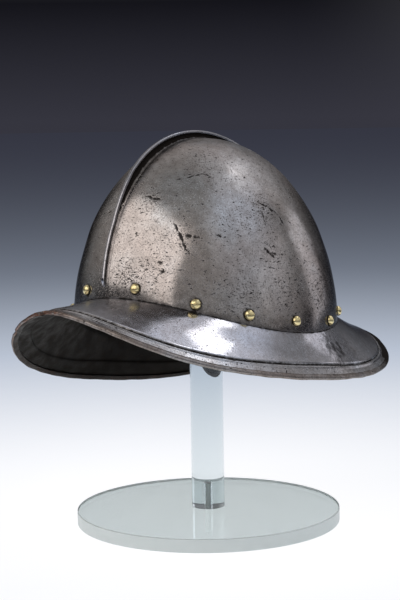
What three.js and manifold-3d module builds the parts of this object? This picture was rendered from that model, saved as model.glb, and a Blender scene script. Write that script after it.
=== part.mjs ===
// A combed kettle hat of polished steel on a clear display stand.
// The hat is forged in two halves, each with its half of the skull and of the swept brim. The halves meet
// in a standing seam along the comb, where the right half folds over the left, and a ring of domed brass
// rivets runs round the foot of the skull. The stand is a clear disc and rod held together by a dowel.
// Millimetres, +Z up. The origin is the centre of the stand's underside, and the hat faces -Y.
import * as THREE from "three";
import { mergeVertices } from "three/addons/utils/BufferGeometryUtils.js";
import Module from "manifold-3d";

const wasm = await Module();
wasm.setup();

// Sizes of the hat, in its own frame: +Z along the skull's axis, from the mean level of the skull's foot.
// At an angle a from the front, a line's height is
// level + saddle * cos(2a) + lean * cos(a) + quarter * cos(4a).
const SKULL = { halfLength: 105, halfWidth: 94.3, height: 137.5, riseSharpness: 1.87, planSharpness: 2.11 };
const FOOT_LINE = { level: 0, saddle: 12.3, lean: 1.5, quarter: 0 };
const BRIM = { halfLength: 160, halfWidth: 110, squareness: 2.32, bow: 1 };
const RIM_LINE = { level: -26.8, saddle: 22.6, lean: 3.5, quarter: 3.7 };
const WALL = 1.5;
const GAP = 0.3;

// The recessed border of the brim, inwards from the rim.
const BORDER = { width: 11.8, stepWidth: 1.6, stepDepth: 1 };

// The rim's turned edge, a bead with its lip folded under: inwards from the rim, and above the border.
const HEM = [
  { inward: 4.2, above: 0 },
  { inward: 2.9, above: 0.4 },
  { inward: 1.6, above: 0.55 },
  { inward: 0.4, above: -0.1 },
  { inward: 0, above: -1.15 },
  { inward: 0.4, above: -2.2 },
  { inward: 1.6, above: -2.85 },
  { inward: 6, above: -2.85 },
  { inward: 6.3, above: -WALL },
];

// The comb is a standing flange on each half. Heights above the skull, at latitudes from its foot to its top.
const COMB = { footHalfWidth: 5, flangeThickness: 1.5, endLatitude: 6 };
const COMB_HEIGHTS = [
  { latitude: 0, height: 0 },
  { latitude: COMB.endLatitude, height: 2.4 },
  { latitude: 28, height: 2.7 },
  { latitude: 40, height: 4.4 },
  { latitude: 54, height: 7 },
  { latitude: 70, height: 8 },
  { latitude: 90, height: 8.3 },
];
// The flange's hollow foot, as shares of the way across it to the skull and of the flange's height.
const COMB_FOOT = [
  { across: 0.55, up: 0.05 },
  { across: 0.2, up: 0.2 },
  { across: 0, up: 0.5 },
  { across: 0, up: 1 },
];
// The right half's lip, folded over the left half's flange: a thickness, and a hook down its far face.
const LIP = { thickness: 1.4, round: 0.5, hookThickness: 1.05, hookDrop: 2.6, hookClearance: 1.3, lap: 0.9 };

// Domed rivets, in pairs: angles from the front on the left and the right, and height above the skull's foot.
const RIVET_PLACES = [
  { left: 17, right: 12, height: 8 },
  { left: 43, right: 41, height: 6 },
  { left: 65, right: 64, height: 7.5 },
  { left: 87.5, right: 87.5, height: 8.5 },
  { left: 113, right: 113, height: 6.5 },
  { left: 134, right: 136, height: 7 },
  { left: 161, right: 161, height: 7.5 },
];
const RIVET = {
  head: 7.6, dome: 3.3, edge: 0.5, shank: 3, tail: 5.4, tailThickness: 0.9, tailGap: 0.45, sides: 9,
};
const RIVET_HOLE = { diameter: 3.7, sides: 8, depth: 8 };

// The stand, and how the hat sits on it: leaning back and to its right, a little off the rod's axis.
const DISC = { diameter: 200, thickness: 10, edge: 0.7, sides: 64 };
const ROD = { diameter: 25, top: 282.3, edge: 0.5, sides: 36 };
const DOWEL = { diameter: 4, base: 2.5, top: 29, sides: 12 };
const HAT_PLACE = { x: -4.8, y: 6.2, z: 152.9, pitch: -6.3, roll: -5.8 };

// How finely the forms are divided.
const COLUMNS = 36;
const SKULL_ROWS = 12;
const BRIM_ROWS = 3;

const STEEL = new THREE.MeshStandardMaterial({ color: 0x8b8886, roughness: 0.35, metalness: 1 });
const BRASS = new THREE.MeshStandardMaterial({ color: 0xc8a552, roughness: 0.3, metalness: 1 });
const ACRYLIC = new THREE.MeshStandardMaterial({
  color: 0xd5e4e6, roughness: 0.08, metalness: 0, transparent: true, opacity: 0.35,
});
const DOWEL_STEEL = new THREE.MeshStandardMaterial({ color: 0xb9bcbc, roughness: 0.4, metalness: 1 });

const { degToRad, lerp, clamp } = THREE.MathUtils;
const UP = new THREE.Vector3(0, 0, 1);
const TOP = Math.PI / 2;
const FRONT = 0;
const REAR = Math.PI;
const STEP = 1e-3;

// Meshes and solids

function tidy(geometry) {
  const bare = new THREE.BufferGeometry();
  bare.setAttribute("position", geometry.getAttribute("position").clone());
  if (geometry.index) {
    bare.setIndex(geometry.index.clone());
  }
  const merged = mergeVertices(bare, 1e-4);
  const index = [];
  for (let i = 0; i < merged.index.count; i += 3) {
    const [a, b, c] = [0, 1, 2].map((k) => merged.index.getX(i + k));
    if (a !== b && b !== c && c !== a) {
      index.push(a, b, c);
    }
  }
  merged.setIndex(index);
  return merged;
}

function toSolid(geometry) {
  const merged = tidy(geometry);
  return new wasm.Manifold(new wasm.Mesh({
    numProp: 3,
    vertProperties: new Float32Array(merged.getAttribute("position").array),
    triVerts: new Uint32Array(merged.index.array),
  }));
}

function toGeometry(solid) {
  const mesh = solid.getMesh();
  const geometry = new THREE.BufferGeometry();
  geometry.setAttribute("position", new THREE.BufferAttribute(Float32Array.from(mesh.vertProperties), 3));
  geometry.setIndex(Array.from(mesh.triVerts));
  return geometry;
}

// Faces between neighbouring rows of points. With closed, each row joins its own end to its start.
function rowFaces(rows, closed) {
  const positions = [];
  const face = (...points) => points.forEach((point) => positions.push(point.x, point.y, point.z));
  const span = closed ? rows[0].length : rows[0].length - 1;
  for (let r = 0; r + 1 < rows.length; r++) {
    for (let i = 0; i < span; i++) {
      const next = (i + 1) % rows[r].length;
      face(rows[r][i], rows[r][next], rows[r + 1][i]);
      face(rows[r][next], rows[r + 1][next], rows[r + 1][i]);
    }
  }
  return positions;
}

// A flat face over a loop of points, laid out by two coordinates of each point.
function loopFace(loop, layOut, flip) {
  const contour = loop.map((point) => new THREE.Vector2(...layOut(point)));
  const positions = [];
  const turn = flip ? [0, 2, 1] : [0, 1, 2];
  for (const triangle of THREE.ShapeUtils.triangulateShape(contour, [])) {
    turn.forEach((k) => positions.push(...loop[triangle[k]].toArray()));
  }
  return positions;
}

function fromPositions(positions) {
  const geometry = new THREE.BufferGeometry();
  geometry.setAttribute("position", new THREE.Float32BufferAttribute(positions, 3));
  return geometry;
}

// A turned solid about Z, from a profile of [radius, height] pairs running upwards along its outside.
function turned(profile, sides) {
  const points = profile.map(([radius, height]) => new THREE.Vector2(radius, height));
  return new THREE.LatheGeometry(points, sides).rotateX(TOP);
}

// Shape of the hat

function lineHeight(line, angle) {
  return line.level + line.saddle * Math.cos(2 * angle) + line.lean * Math.cos(angle)
    + line.quarter * Math.cos(4 * angle);
}

// Keeps a point of the half clear of the seam by the width of the comb's foot.
function opened(point) {
  return point.setX(Math.hypot(point.x, COMB.footHalfWidth));
}

// A point of the skull's outside, at a latitude from its foot (0) to its top (a quarter turn).
function skullPoint(angle, latitude) {
  const inset = Math.max(Math.cos(latitude), 0) ** (2 / SKULL.planSharpness);
  const rise = Math.sin(latitude) ** (2 / SKULL.riseSharpness);
  return new THREE.Vector3(
    SKULL.halfWidth * inset * Math.sin(angle),
    -SKULL.halfLength * inset * Math.cos(angle),
    lerp(lineHeight(FOOT_LINE, angle), SKULL.height, rise),
  );
}

function skullNormal(angle, latitude) {
  const safe = clamp(latitude, 2 * STEP, TOP - 2 * STEP);
  const along = skullPoint(angle + STEP, safe).sub(skullPoint(angle - STEP, safe));
  const up = skullPoint(angle, safe + STEP).sub(skullPoint(angle, safe - STEP));
  return latitude === TOP ? UP.clone() : along.cross(up).normalize();
}

function rimPoint(angle) {
  const [s, c] = [Math.sin(angle), Math.cos(angle)];
  const reach = (Math.abs(c) ** BRIM.squareness + Math.abs(s) ** BRIM.squareness) ** (-1 / BRIM.squareness);
  return new THREE.Vector3(
    BRIM.halfWidth * reach * s,
    -BRIM.halfLength * reach * c,
    lineHeight(RIM_LINE, angle),
  );
}

// The brim's own directions at an angle: inwards up its slope, and out of its upper face.
function brimAt(angle) {
  const rim = opened(rimPoint(angle));
  const slope = opened(skullPoint(angle, 0)).sub(rim);
  const inward = slope.clone().normalize();
  const along = rimPoint(angle + STEP).sub(rimPoint(angle - STEP));
  return { rim, width: slope.length(), inward, above: along.cross(inward).normalize() };
}

function brimPoint(brim, place) {
  const bow = BRIM.bow * Math.sin(Math.PI * place.inward / brim.width);
  return brim.rim.clone()
    .addScaledVector(brim.inward, place.inward)
    .addScaledVector(brim.above, place.above - bow);
}

function skullLatitudes() {
  const latitudes = [];
  for (let row = 0; row < SKULL_ROWS - 1; row++) {
    latitudes.push(TOP * (1 - row / SKULL_ROWS));
  }
  return [...latitudes, degToRad(COMB.endLatitude)];
}

// One meridian of a half: down the outside from its top to the rim, round the turned edge, and up the inside.
function meridian(angle) {
  const brim = brimAt(angle);
  const shoulder = BORDER.width + BORDER.stepWidth;
  const brimPlaces = [];
  for (let row = 1; row <= BRIM_ROWS; row++) {
    const share = row / BRIM_ROWS;
    brimPlaces.push({ inward: lerp(brim.width, shoulder, share), above: BORDER.stepDepth * share });
  }
  brimPlaces.push({ inward: BORDER.width, above: 0 });
  const latitudes = skullLatitudes();
  const foot = opened(skullPoint(angle, 0));
  const footNormal = skullNormal(angle, 0).add(brim.above).normalize();

  const outside = [
    ...latitudes.map((latitude) => opened(skullPoint(angle, latitude))),
    foot,
    ...brimPlaces.map((place) => brimPoint(brim, place)),
  ];
  const inside = [
    ...latitudes.map((latitude) =>
      opened(skullPoint(angle, latitude)).addScaledVector(skullNormal(angle, latitude), -WALL)),
    foot.clone().addScaledVector(footNormal, -WALL),
    ...brimPlaces.map((place) => brimPoint(brim, { ...place, above: place.above - WALL })),
  ];
  return [...outside, ...HEM.map((place) => brimPoint(brim, place)), ...inside.reverse()];
}

function combHeight(latitude) {
  const degrees = latitude / degToRad(1);
  const upper = Math.max(1, COMB_HEIGHTS.findIndex((row) => row.latitude >= degrees - 1e-6));
  const [low, high] = [COMB_HEIGHTS[upper - 1], COMB_HEIGHTS[upper]];
  return lerp(low.height, high.height, (degrees - low.latitude) / (high.latitude - low.latitude));
}

// The half's edge along the ridge at one end: copies of the end meridian, drawn to the seam and raised as the
// flange, which stops below the comb's height by the given drop.
function seamEdge(angle, drop) {
  const base = meridian(angle);
  const latitudes = skullLatitudes();
  const face = GAP / 2;
  const side = face + COMB.flangeThickness;
  const places = COMB_FOOT.map((row) => ({ x: lerp(side, COMB.footHalfWidth, row.across), up: row.up }));
  places.push({ x: face, up: 1 });
  return places.map((place) => base.map((point, row) => {
    const moved = point.clone().setX(place.x);
    if (row < latitudes.length) {
      const height = Math.max(combHeight(latitudes[row]) - drop, 0);
      moved.addScaledVector(skullNormal(angle, latitudes[row]), height * place.up);
    }
    return moved;
  }));
}

// The left half: its meridians from front to rear, with the two seam edges and the face along the seam.
function halfGeometry(drop) {
  const columns = [];
  for (let column = 0; column <= COLUMNS; column++) {
    columns.push(meridian(lerp(FRONT, REAR, column / COLUMNS)));
  }
  const front = seamEdge(FRONT, drop);
  const rear = seamEdge(REAR, drop);
  const rows = [...front.reverse(), ...columns, ...rear];
  const seam = [...rows[0], ...rows.at(-1).slice(1, -1).reverse()];
  return fromPositions([...rowFaces(rows, false), ...loopFace(seam, (point) => [point.y, point.z], true)]);
}

// The folded lip, section by section over the ridge from front to rear. Each section lies across the comb.
function lipGeometry() {
  const latitudes = skullLatitudes();
  const front = latitudes.map((latitude) => ({ angle: FRONT, latitude })).reverse();
  const rear = latitudes.slice(1).map((latitude) => ({ angle: REAR, latitude }));
  const side = GAP / 2 + COMB.flangeThickness;
  const sections = [...front, ...rear].map(({ angle, latitude }) => {
    const height = combHeight(latitude);
    const bottom = height - LIP.thickness;
    const hook = Math.min(bottom, Math.max(height - LIP.hookDrop, LIP.hookClearance));
    const outer = side + GAP + LIP.hookThickness;
    const places = [
      { x: -side, above: bottom - LIP.lap },
      { x: -GAP / 2, above: bottom - LIP.lap },
      { x: -GAP / 2, above: bottom },
      { x: side + GAP, above: bottom },
      { x: side + GAP, above: hook },
      { x: outer, above: hook },
      { x: outer, above: height - LIP.round },
      { x: outer - LIP.round, above: height },
      { x: LIP.round - side, above: height },
      { x: -side, above: height - LIP.round },
    ];
    const normal = skullNormal(angle, latitude);
    return places.reverse().map((place) =>
      skullPoint(angle, latitude).setX(place.x).addScaledVector(normal, place.above));
  });
  const across = (point) => [point.x, Math.hypot(point.y, point.z)];
  return fromPositions([
    ...rowFaces(sections, true),
    ...loopFace(sections[0], across, false),
    ...loopFace(sections.at(-1), across, true),
  ]);
}

// Where a rivet stands on a left half: its point on the skull and the direction out of it.
function rivetPlace(degrees, height) {
  const angle = degToRad(degrees);
  const rise = height / (SKULL.height - lineHeight(FOOT_LINE, angle));
  const latitude = Math.asin(rise ** (SKULL.riseSharpness / 2));
  return { point: opened(skullPoint(angle, latitude)), normal: skullNormal(angle, latitude) };
}

function stood(geometry, place) {
  const turn = new THREE.Quaternion().setFromUnitVectors(UP, place.normal);
  return geometry.applyQuaternion(turn).translate(...place.point.toArray());
}

function rivetGeometry() {
  const [head, shank, tail] = [RIVET.head / 2, RIVET.shank / 2, RIVET.tail / 2];
  const inner = -WALL - RIVET.tailGap;
  const shoulder = GAP + RIVET.edge;
  const dome = [0, 30, 60, 90].map((degrees) => [
    head * Math.cos(degToRad(degrees)),
    shoulder + (RIVET.dome - RIVET.edge) * Math.sin(degToRad(degrees)),
  ]);
  dome.at(-1)[0] = 0;
  return turned([
    [0, inner - RIVET.tailThickness],
    [tail, inner],
    [shank, inner],
    [shank, GAP],
    [head * 0.96, GAP],
    ...dome,
  ], RIVET.sides);
}

function mirrored(geometry) {
  const flipped = tidy(geometry).scale(-1, 1, 1);
  flipped.setIndex(Array.from(flipped.index.array).reverse());
  return flipped;
}

// Shape of the stand

function discGeometry() {
  const radius = DISC.diameter / 2;
  const hole = DOWEL.diameter / 2 + GAP;
  return turned([
    [0, 0],
    [radius - DISC.edge, 0],
    [radius, DISC.edge],
    [radius, DISC.thickness - DISC.edge],
    [radius - DISC.edge, DISC.thickness],
    [hole, DISC.thickness],
    [hole, DOWEL.base - GAP],
    [0, DOWEL.base - GAP],
  ], DISC.sides);
}

function rodGeometry() {
  const radius = ROD.diameter / 2;
  const hole = DOWEL.diameter / 2 + GAP;
  const bottom = DISC.thickness + GAP;
  return turned([
    [0, DOWEL.top + GAP],
    [hole, DOWEL.top + GAP],
    [hole, bottom],
    [radius - ROD.edge, bottom],
    [radius, bottom + ROD.edge],
    [radius, ROD.top - ROD.edge],
    [radius - ROD.edge, ROD.top],
    [0, ROD.top],
  ], ROD.sides);
}

function dowelGeometry() {
  const radius = DOWEL.diameter / 2;
  return turned([[0, DOWEL.base], [radius, DOWEL.base], [radius, DOWEL.top], [0, DOWEL.top]], DOWEL.sides);
}

// Assembly

const group = new THREE.Group();
const seat = new THREE.Matrix4().makeRotationFromEuler(
  new THREE.Euler(degToRad(HAT_PLACE.pitch), degToRad(HAT_PLACE.roll), 0, "XYZ"),
);
seat.setPosition(HAT_PLACE.x, HAT_PLACE.y, HAT_PLACE.z);

function add(name, geometry, material, matrix) {
  const shaped = tidy(geometry);
  if (matrix) {
    shaped.applyMatrix4(matrix);
  }
  shaped.computeVertexNormals();
  const mesh = new THREE.Mesh(shaped, material);
  mesh.name = name;
  group.add(mesh);
}

function drilled(half, places, turn) {
  const radius = RIVET_HOLE.diameter / 2;
  const reach = RIVET_HOLE.depth / 2;
  const profile = [[0, -reach], [radius, -reach], [radius, reach], [0, reach]];
  return places.reduce((solid, place) => {
    const drill = stood(turned(profile, RIVET_HOLE.sides), place);
    return solid.subtract(toSolid(turn(drill)));
  }, half);
}

const asLeft = (geometry) => geometry;
const leftPlaces = RIVET_PLACES.map((row) => rivetPlace(row.left, row.height));
const rightPlaces = RIVET_PLACES.map((row) => rivetPlace(row.right, row.height));
const left = toSolid(halfGeometry(LIP.thickness + GAP));
const right = toSolid(mirrored(halfGeometry(LIP.thickness))).add(toSolid(lipGeometry()));
add("skull_left_half", toGeometry(drilled(left, leftPlaces, asLeft)), STEEL, seat);
add("skull_right_half", toGeometry(drilled(right, rightPlaces, mirrored)), STEEL, seat);
const rivets = [
  ...leftPlaces.map((place) => stood(rivetGeometry(), place)),
  ...rightPlaces.reverse().map((place) => mirrored(stood(rivetGeometry(), place))),
];
rivets.forEach((rivet, i) => add(`rivet_${String(i + 1).padStart(2, "0")}`, rivet, BRASS, seat));
add("stand_base", discGeometry(), ACRYLIC);
add("stand_rod", rodGeometry(), ACRYLIC);
add("stand_dowel", dowelGeometry(), DOWEL_STEEL);

export default group;
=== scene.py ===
"""Looks of a combed kettle hat on a clear display stand: worn polished steel, brass rivets, acrylic."""

import math

import bmesh
import bpy
import numpy as np
from mathutils import Matrix, Vector

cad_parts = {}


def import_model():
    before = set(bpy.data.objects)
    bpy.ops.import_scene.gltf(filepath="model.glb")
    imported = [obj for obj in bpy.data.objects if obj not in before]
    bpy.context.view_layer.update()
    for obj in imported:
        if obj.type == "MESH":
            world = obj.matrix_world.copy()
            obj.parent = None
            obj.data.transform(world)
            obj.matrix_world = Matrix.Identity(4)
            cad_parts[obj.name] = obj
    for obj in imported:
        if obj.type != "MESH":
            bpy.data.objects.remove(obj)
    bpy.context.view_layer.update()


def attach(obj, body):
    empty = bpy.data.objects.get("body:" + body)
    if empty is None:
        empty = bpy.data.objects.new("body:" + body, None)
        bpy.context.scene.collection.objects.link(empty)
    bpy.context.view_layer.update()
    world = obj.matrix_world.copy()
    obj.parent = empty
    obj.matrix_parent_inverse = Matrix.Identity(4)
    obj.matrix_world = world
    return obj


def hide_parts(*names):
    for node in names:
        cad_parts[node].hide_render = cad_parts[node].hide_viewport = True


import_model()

MM = 0.001
RNG = np.random.default_rng(1558)

# Sizes of the hat in millimetres, in its own frame, as in the solids.
SKULL = dict(half_length=105, half_width=94.3, height=137.5, rise_sharpness=1.87, plan_sharpness=2.11)
FOOT_LINE = dict(level=0, saddle=12.3, lean=1.5, quarter=0)
BRIM = dict(half_length=160, half_width=110, squareness=2.32, bow=1)
RIM_LINE = dict(level=-26.8, saddle=22.6, lean=3.5, quarter=3.7)
WALL = 1.5
GAP = 0.3
BORDER_WIDTH = dict(left=11.8, right=16.5)
BORDER = dict(step_width=1.5, step_depth=1.0, bead_width=3.0, bead_height=0.55)
COMB = dict(foot_half_width=5, flange=0.8, end_latitude=6)
# Height of the comb at these latitudes, in degrees, over the front and over the rear.
COMB_LATITUDES = (0, 4.5, 6, 28, 40, 48, 57, 66, 75, 82, 90)
COMB_FRONT = (0, 0.2, 2.4, 2.7, 5.2, 7.0, 7.3, 7.1, 6.7, 6.4, 6.2)
COMB_REAR = (0, 0.2, 2.4, 2.7, 4.4, 5.9, 6.5, 6.3, 6.0, 5.8, 6.2)
LIP = dict(thickness=1.2, hook_thickness=0.6, hook_drop=2.0, hook_clearance=1.0, lap=0.9, round=0.55)
LIP_GAP = 0.12
HEM = (
    # distance in from the rim and lift, round the turned edge from its top to its underside
    (4.2, 0),
    (2.9, 0.4),
    (1.5, 0.5),
    (0.3, -0.1),
    (0, -1.15),
    (0.3, -2.2),
    (1.5, -2.75),
    (4.5, -2.75),
    (4.8, -1.5),
)
HEM_CORNER = 0.5
HEM_TOP_END = 4.4
HEM_UNDER_END = 5.0
RIVETS = (
    # left angle, right angle, height above the skull's foot
    (17, 12, 8),
    (43, 41, 6),
    (65, 64, 7.5),
    (87.5, 87.5, 8.5),
    (113, 113, 6.5),
    (134, 136, 7),
    (161, 161, 7.5),
)
# Breaks in the rim of each half: from and to, in degrees from the front, and depth.
CHIPS = {
    "left": ((-9, 2.6, 3.4), (0.9, 8.4, 0.9), (176.2, 178.6, 2.0)),
    "right": ((-9, 1.1, 3.2), (7, 15, 1.5), (23, 26, 1.3), (177.0, 189, 1.2)),
}
CHIP_EDGE = 0.35
RIM_PER_DEGREE = 2.4
# Where the rim turns black, in degrees from the front, on the near half's rear and the far half's hem. The
# black at the rear is painted shadow.
REAR_SHADOW = (122, 142)
DARK_FAR_HEM = (38, 58)
# Place of the hat on the rod, in millimetres and degrees.
HAT_PLACE = dict(x=-4.8, y=6.2, z=152.9, pitch=-6.3, roll=-5.8)

HAT = (
    Matrix.Translation((HAT_PLACE["x"], HAT_PLACE["y"], HAT_PLACE["z"]))
    @ Matrix.Rotation(math.radians(HAT_PLACE["pitch"]), 4, "X")
    @ Matrix.Rotation(math.radians(HAT_PLACE["roll"]), 4, "Y")
)

# The photo's camera: distance and height in metres, angles in degrees, focal length in pixels.
CAMERA = dict(
    distance=1.2176,
    height=0.3049,
    azimuth=44.776,
    yaw=0.184,
    pitch=6.386,
    roll=-0.924,
    focal=1623.5,
)
PHOTO = dict(width=400, height=600)
SENSOR_WIDTH = 36


def camera_axes():
    """The camera's place and its right, up and forward directions."""
    azimuth = math.radians(CAMERA["azimuth"])
    a = math.radians(CAMERA["azimuth"] + CAMERA["yaw"])
    p = math.radians(CAMERA["pitch"])
    r = math.radians(CAMERA["roll"])
    forward = Vector((-math.sin(a) * math.cos(p), math.cos(a) * math.cos(p), -math.sin(p)))
    right = Vector((math.cos(a), math.sin(a), 0))
    up = right.cross(forward)
    right, up = right * math.cos(r) + up * math.sin(r), up * math.cos(r) - right * math.sin(r)
    reach = CAMERA["distance"]
    spot = Vector((reach * math.sin(azimuth), -reach * math.cos(azimuth), CAMERA["height"]))
    return spot, right, up, forward


# Shape of the hat


def unit(v):
    return v / np.maximum(np.linalg.norm(v, axis=-1, keepdims=True), 1e-12)


def smooth(low, high, x):
    s = np.clip((np.asarray(x, float) - low) / (high - low), 0, 1)
    return s * s * (3 - 2 * s)


def line_height(line, angle):
    return (
        line["level"]
        + line["saddle"] * np.cos(2 * angle)
        + line["lean"] * np.cos(angle)
        + line["quarter"] * np.cos(4 * angle)
    )


def skull_point(angle, latitude):
    angle, latitude = np.broadcast_arrays(np.asarray(angle, float), np.asarray(latitude, float))
    inset = np.maximum(np.cos(latitude), 0) ** (2 / SKULL["plan_sharpness"])
    rise = np.sin(latitude) ** (2 / SKULL["rise_sharpness"])
    foot = line_height(FOOT_LINE, angle)
    x = SKULL["half_width"] * inset * np.sin(angle)
    y = -SKULL["half_length"] * inset * np.cos(angle)
    return np.stack([x, y, foot + (SKULL["height"] - foot) * rise], -1)


def skull_normal(angle, latitude, d=1e-3):
    safe = np.clip(latitude, 2 * d, math.pi / 2 - 2 * d)
    along = skull_point(angle + d, safe) - skull_point(angle - d, safe)
    up = skull_point(angle, safe + d) - skull_point(angle, safe - d)
    normal = unit(np.cross(along, up))
    top = np.broadcast_to(np.asarray(latitude) > math.pi / 2 - 1e-6, normal.shape[:-1])
    normal[top] = (0, 0, 1)
    return normal


def rim_point(angle):
    s, c = np.sin(angle), np.cos(angle)
    n = BRIM["squareness"]
    reach = (np.abs(c) ** n + np.abs(s) ** n) ** (-1 / n)
    x = BRIM["half_width"] * reach * s
    y = -BRIM["half_length"] * reach * c
    return np.stack([x, y, line_height(RIM_LINE, angle)], -1)


def opened(points):
    """The points moved out from the ridge, which leaves room for the comb's foot."""
    points = points.copy()
    points[..., 0] = np.hypot(points[..., 0], COMB["foot_half_width"])
    return points


def comb_height(angle, latitude):
    heights = COMB_FRONT if angle < math.pi / 2 else COMB_REAR
    return np.interp(np.degrees(latitude), COMB_LATITUDES, heights)


def rounded(points, radius, steps=4, closed=False):
    """The polyline with its corners turned into short arcs."""
    points = [np.asarray(p, float) for p in points]
    out = []
    n = len(points)
    for i, p in enumerate(points):
        if not closed and i in (0, n - 1):
            out.append(p)
            continue
        a, b = points[i - 1], points[(i + 1) % n]
        reach = min(radius, np.linalg.norm(a - p) * 0.48, np.linalg.norm(b - p) * 0.48)
        start, end = p + unit(a - p) * reach, p + unit(b - p) * reach
        for s in np.linspace(0, 1, steps):
            out.append(start * (1 - s) ** 2 + p * 2 * s * (1 - s) + end * s**2)
    return np.array(out)


class Dents:
    """Hammer marks and bruises of one half, as a depth over the skull."""

    def __init__(self, rng, count):
        self.angle = rng.uniform(0.03, math.pi - 0.03, count)
        self.latitude = np.arcsin(rng.uniform(0.05, 0.98, count))
        self.radius = rng.uniform(7, 19, count)
        self.depth = rng.normal(0, 0.16, count)
        self.centre = skull_point(self.angle, self.latitude)

    def depth_at(self, points):
        flat = points.reshape(-1, 3)
        total = np.zeros(len(flat))
        for c, r, d in zip(self.centre, self.radius, self.depth):
            total += d * np.exp(-np.sum((flat - c) ** 2, -1) / (r * r))
        return total.reshape(points.shape[:-1])


def waves(seed, wavelength, points):
    """A smooth random field of about unit height, from a few crossed waves."""
    rng = np.random.default_rng(seed)
    total = np.zeros(points.shape[:-1])
    for _ in range(9):
        k = rng.normal(0, 1, 3)
        k *= 2 * math.pi / (wavelength * rng.uniform(0.7, 1.6)) / np.linalg.norm(k)
        total += np.sin(points @ k + rng.uniform(0, 2 * math.pi))
    return total / 3


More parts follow.
